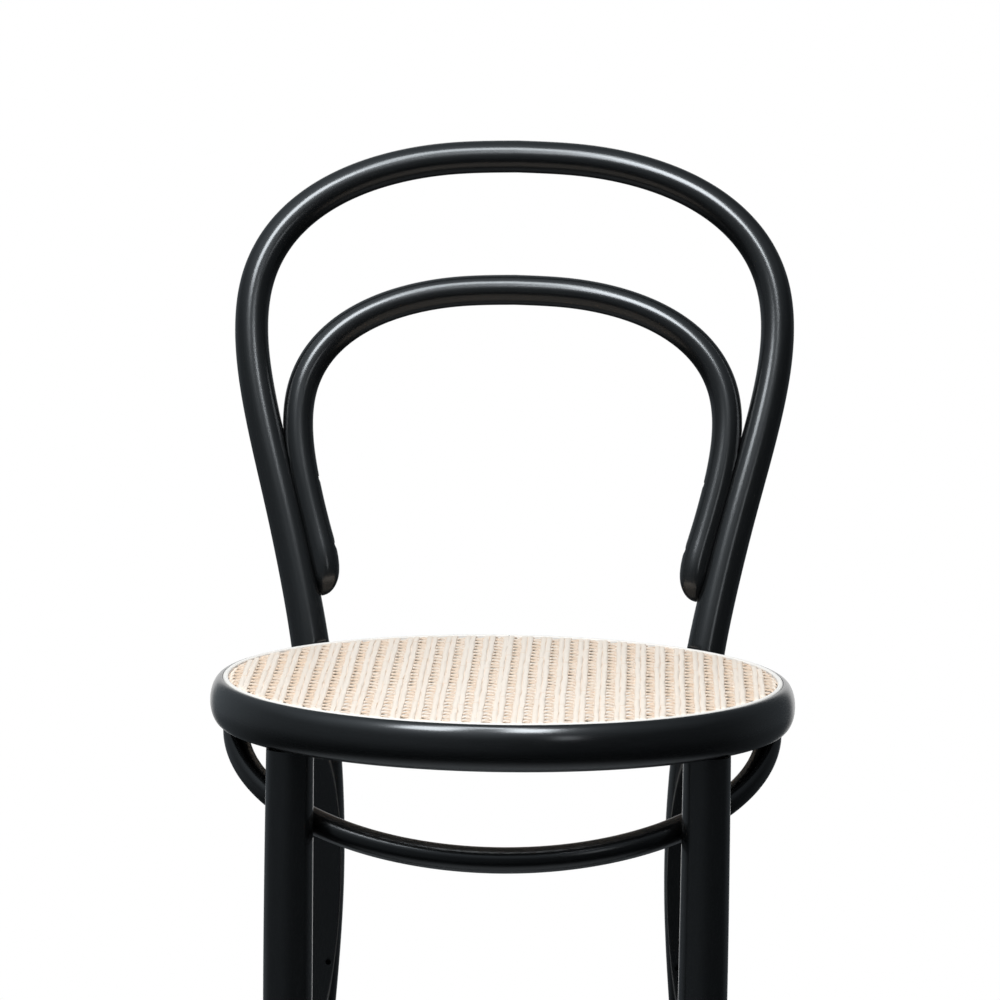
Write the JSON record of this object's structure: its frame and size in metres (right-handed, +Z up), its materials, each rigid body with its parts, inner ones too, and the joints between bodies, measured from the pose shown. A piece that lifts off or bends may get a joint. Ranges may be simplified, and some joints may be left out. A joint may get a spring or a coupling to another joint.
{
  "type": "bar stool",
  "caption": "Bentwood bar stool with a round cane seat, a hoop back with an inner loop, a bow under the seat and a round foot ring.",
  "frame": {"origin": "on the floor, under the middle of the stool's width and depth", "axes": "+X to the right seen from the front, +Y to the back, +Z up"},
  "size_m": [0.42, 0.4976, 1.1257],
  "materials": {
    "black_lacquer": "black satin lacquer on bent beech",
    "woven_cane": "natural woven cane",
    "pale_reed": "natural reed",
    "zinc_plated_steel": "zinc plated",
    "browned_screw": "browned",
    "grey_nylon": "moulded"
  },
  "bodies": {
    "root": {"back_hoop": "black_lacquer", "inner_loop": "black_lacquer", "seat_ring": "black_lacquer", "seat_bow": "black_lacquer", "foot_ring": "black_lacquer", "front_leg_left": "black_lacquer", "front_leg_right": "black_lacquer", "cane_panel": "woven_cane", "cane_spline": "pale_reed", "seat_bolt_left": "zinc_plated_steel", "seat_bolt_right": "zinc_plated_steel", "seat_washer_left": "zinc_plated_steel", "seat_washer_right": "zinc_plated_steel", "seat_nut_left": "zinc_plated_steel", "seat_nut_right": "zinc_plated_steel", "loop_screw_upper_left": "browned_screw", "loop_screw_lower_left": "browned_screw", "loop_screw_upper_right": "browned_screw", "loop_screw_lower_right": "browned_screw", "bow_leg_screw_left": "browned_screw", "bow_leg_screw_right": "browned_screw", "bow_seat_screw_left": "browned_screw", "bow_seat_screw_right": "browned_screw", "foot_ring_screw_front_left": "browned_screw", "foot_ring_screw_front_right": "browned_screw", "foot_ring_screw_rear_left": "browned_screw", "foot_ring_screw_rear_right": "browned_screw", "front_glide_left": "grey_nylon", "front_glide_right": "grey_nylon", "rear_glide_left": "grey_nylon", "rear_glide_right": "grey_nylon"}
  },
  "joints": []
}
